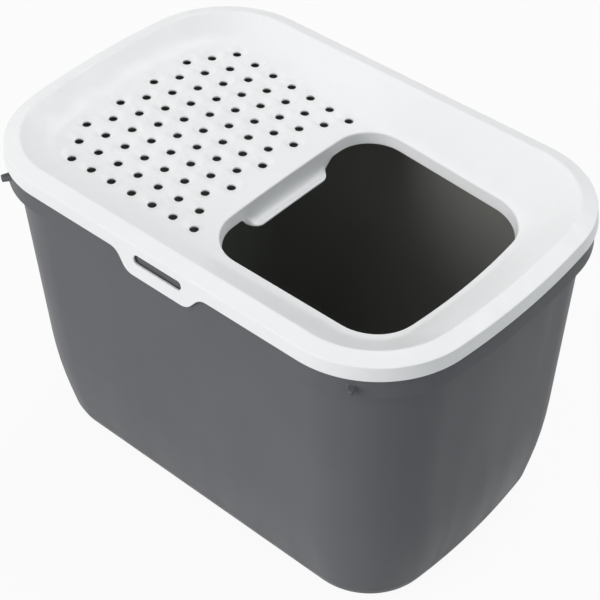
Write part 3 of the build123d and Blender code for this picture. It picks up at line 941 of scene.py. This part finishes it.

# %% [markdown]
# ## Dark satin plastic of the bin
#
# The bin is a neutral, very slightly blue grey. Large moulded sides show faint upright flow bands, and
# they pick up pale scuffs, most of all near the heel, where the box is shoved. Litter leaves a light dust
# on the floor inside, so that dust is laid by the upward tilt of the face.
# Inside, the walls and the floor get a much lighter grey: painted light that stands in for light entering the
# box.

# %% Bin finish
def bin_finish():
    """Dark grey satin plastic: flow bands, fine grain, pale scuffs low down, dust on the floor, painted light
    inside.
    """
    finish = Finish("bin_grey_satin")
    drift = finish.span(finish.noise(5.0, 3.0), 0.3, 0.7)
    flow = finish.span(finish.noise(26.0, 3.0, (1.0, 1.0, 0.12), 0.5, 0.6), 0.3, 0.7)
    grain = finish.noise(2200.0, 2.0)
    pores = finish.noise(800.0, 3.0)
    scuff_a = finish.noise(70.0, 6.0, (0.14, 0.14, 2.6), 0.6, 0.3)
    scuff_b = finish.noise(85.0, 6.0, (1.0, 1.0, 0.2), 0.6, 0.5)
    height = finish.add("ShaderNodeSeparateXYZ", {"Vector": finish.place}).outputs["Z"]
    low = finish.span(height, 0.02, 0.16, 1.0, 0.15)
    scuffs = finish.maths("MULTIPLY", finish.maths("MAXIMUM", finish.span(scuff_a, 0.66, 0.75),
                                                   finish.span(scuff_b, 0.69, 0.77)), low)
    facing = finish.add("ShaderNodeNewGeometry").outputs["Normal"]
    upward = finish.add("ShaderNodeSeparateXYZ", {"Vector": facing}).outputs["Z"]
    dust = finish.maths("MULTIPLY", finish.span(upward, 0.55, 0.98), finish.span(pores, 0.46, 0.66, 0.2, 0.9))
    tone = finish.blend(drift, (0.118, 0.12, 0.129, 1), (0.129, 0.131, 0.14, 1))
    tone = finish.blend(finish.maths("MULTIPLY", flow, 0.3), tone, (0.143, 0.145, 0.154, 1))
    # Painted light: faces below the rim that look inwards, and the floor inside, are marked here and get a much
    # lighter grey standing in for light inside the box.
    apart = finish.add("ShaderNodeSeparateXYZ", {"Vector": facing})
    beside = finish.add("ShaderNodeSeparateXYZ", {"Vector": finish.place})
    outward = finish.maths("ADD", finish.maths("MULTIPLY", apart.outputs["X"], beside.outputs["X"]),
                           finish.maths("MULTIPLY", apart.outputs["Y"], beside.outputs["Y"]))
    upward_low = finish.maths("MULTIPLY", finish.maths("MULTIPLY", upward, low), 0.05)
    inner = finish.maths("MULTIPLY", finish.span(height, 0.345, 0.352, 1.0, 0.0),
                         finish.span(finish.maths("SUBTRACT", outward, upward_low), -0.04, -0.008, 1.0, 0.0))
    # Painted light inside the box: a lighter grey than the plastic's own tone.
    tone = finish.blend(inner, tone, (0.285, 0.286, 0.268, 1))
    tone = finish.blend(finish.maths("MULTIPLY", scuffs, 0.35), tone, (0.24, 0.24, 0.24, 1))
    tone = finish.blend(finish.maths("MULTIPLY", dust, 0.22), tone, (0.3, 0.29, 0.27, 1))
    finish.wear("Base Color", tone)
    rough = finish.maths("ADD", finish.span(flow, 0, 1, 0.42, 0.5), finish.maths("MULTIPLY", scuffs, 0.12))
    finish.wear("Roughness", finish.maths("ADD", rough, finish.maths("MULTIPLY", dust, 0.2)))
    coarse = finish.bump(finish.noise(4.0, 2.0), 0.0008)
    scored = finish.bump(scuffs, -0.000015, coarse)
    finish.wear("Normal", finish.bump(grain, 0.00003, finish.bump(pores, 0.00004, scored)))
    finish.shader.inputs["IOR"].default_value = 1.5
    finish.shader.inputs["Specular IOR Level"].default_value = 0.1
    return finish.material


litter_bin.data.materials.clear()
litter_bin.data.materials.append(bin_finish())
print("bin finish:", litter_bin.data.materials[0].name)

# %% [markdown]
# ## Floor and background
#
# The photograph is a cut-out on white. A plain pale floor carries the box's soft shadow, and its colour
# comes from its own material. Where the camera looks past the floor it sees the world, which is plain
# white for camera rays only, and an even soft grey light for everything else.

# %% Floor and world
FLOOR_HALF = 3.0
FLOOR_WHITE = 0.93


def seen_rays(tree):
    """1 for rays from the camera, a mirror or glass, and 0 for light that falls on other surfaces."""
    rays = tree.nodes.new("ShaderNodeLightPath")
    total = rays.outputs["Is Camera Ray"]
    for kind in ("Is Glossy Ray", "Is Transmission Ray"):
        add = tree.nodes.new("ShaderNodeMath")
        add.operation = "MAXIMUM"
        tree.links.new(total, add.inputs[0])
        tree.links.new(rays.outputs[kind], add.inputs[1])
        total = add.outputs[0]
    return total


def floor_sheet():
    """A square sheet just below the bin, of four corners.

    For what the camera, a mirror or glass sees of it, a share of plain white light is mixed in."""
    corners = np.array([[-1, -1], [1, -1], [1, 1], [-1, 1]]) * FLOOR_HALF
    mesh = bpy.data.meshes.new("floor_sheet")
    mesh.from_pydata([(x, y, 0.0) for x, y in corners.tolist()], [], [(0, 1, 2, 3)])
    sheet = bpy.data.objects.new("floor_sheet", mesh)
    bpy.context.scene.collection.objects.link(sheet)
    finish = Finish("floor_pale")
    finish.shader.inputs["Base Color"].default_value = (0.6, 0.6, 0.6, 1)
    finish.shader.inputs["Roughness"].default_value = 0.9
    finish.shader.inputs["Specular IOR Level"].default_value = 0.1
    white = finish.add("ShaderNodeEmission", {"Color": (1, 1, 1, 1), "Strength": 1.0})
    share = finish.maths("MULTIPLY", seen_rays(finish.tree), FLOOR_WHITE)
    mix = finish.add("ShaderNodeMixShader", {"Fac": share})
    finish.tree.links.new(finish.shader.outputs[0], mix.inputs[1])
    finish.tree.links.new(white.outputs[0], mix.inputs[2])
    finish.tree.links.new(mix.outputs[0], finish.tree.nodes["Material Output"].inputs["Surface"])
    mesh.materials.append(finish.material)
    return sheet


def white_world(strength):
    """Even light of the given strength; camera, mirror and glass rays see plain white instead."""
    world = bpy.data.worlds.new("studio")
    bpy.context.scene.world = world
    world.use_nodes = True
    tree = world.node_tree
    light = tree.nodes["Background"]
    light.inputs["Color"].default_value = (0.93, 0.98, 1.0, 1)
    light.inputs["Strength"].default_value = strength
    white = tree.nodes.new("ShaderNodeBackground")
    white.inputs["Color"].default_value = (1.0, 1.0, 1.0, 1)
    white.inputs["Strength"].default_value = 1.0
    mix = tree.nodes.new("ShaderNodeMixShader")
    tree.links.new(seen_rays(tree), mix.inputs[0])
    tree.links.new(light.outputs[0], mix.inputs[1])
    tree.links.new(white.outputs[0], mix.inputs[2])
    tree.links.new(mix.outputs[0], tree.nodes["World Output"].inputs["Surface"])


floor = floor_sheet()
white_world(0.24)
print("floor", FLOOR_HALF * 2, "m wide")

# %% [markdown]
# ## Lamps
#
# One very wide soft light stands high over the long side at the front left. It makes that side and the far
# slope of the dish the lightest faces, and leaves the short end to the world's even light. A sun lamp is
# used for it, because its light is equally strong everywhere, so the floor stays one even white.

# %% Soft lamps
def soft_sun(name, place, width, strength, colour=(1.0, 1.0, 1.0)):
    """A sun that shines from the direction of a place towards the origin, width degrees across."""
    data = bpy.data.lights.new(name, "SUN")
    data.angle = math.radians(width)
    data.energy = strength
    data.color = colour
    lamp = bpy.data.objects.new(name, data)
    bpy.context.scene.collection.objects.link(lamp)
    lamp.rotation_euler = Vector(place).to_track_quat("Z", "Y").to_euler()
    return lamp


soft_sun("sun_high", (-0.12, -0.5, 0.86), 40.0, 0.22)
soft_sun("sun_low_left", (-0.37, -0.88, 0.325), 46.0, 1.85)
soft_sun("sun_back", (0.04, 0.58, 0.8), 46.0, 1.42)
soft_sun("sun_right", (0.85, -0.25, 0.55), 40.0, 0.38, (0.88, 0.98, 1.0))

# %% [markdown]
# ## Camera
#
# The photograph's viewpoint was worked out from the lid's outline and its grid of holes. A camera is a
# place and three directions: to its right, up, and back towards the viewer. Those directions are the
# columns of its matrix.

# %% Camera at the photograph's viewpoint
CAMERA_PLACE = (0.911516, -1.012918, 1.459651)
AZIMUTH = 41.758
ELEVATION = 42.643
ROLL = -0.313
FOCAL_PIXELS = 1712.36
IMAGE_PIXELS = 600
SENSOR = 36.0


def photo_camera():
    """Camera that looks down by the elevation, seen from the azimuth east of -Y, rolled a little."""
    azimuth, elevation = math.radians(AZIMUTH), math.radians(ELEVATION)
    back = Vector((math.cos(elevation) * math.sin(azimuth), -math.cos(elevation) * math.cos(azimuth),
                   math.sin(elevation)))
    right = Vector((0, 0, 1)).cross(back).normalized()
    up = back.cross(right)
    turn = Matrix.Rotation(math.radians(ROLL), 3, back)
    data = bpy.data.cameras.new("photo_camera")
    data.sensor_width = SENSOR
    data.lens = FOCAL_PIXELS / IMAGE_PIXELS * SENSOR
    camera = bpy.data.objects.new("photo_camera", data)
    bpy.context.scene.collection.objects.link(camera)
    axes = Matrix((turn @ right, turn @ up, turn @ back)).transposed()
    camera.matrix_world = Matrix.Translation(CAMERA_PLACE) @ axes.to_4x4()
    bpy.context.scene.camera = camera
    return turn @ right, turn @ up, turn @ back


print("camera axes", [[round(value, 6) for value in axis] for axis in photo_camera()])
bpy.context.scene.view_settings.view_transform = "Standard"
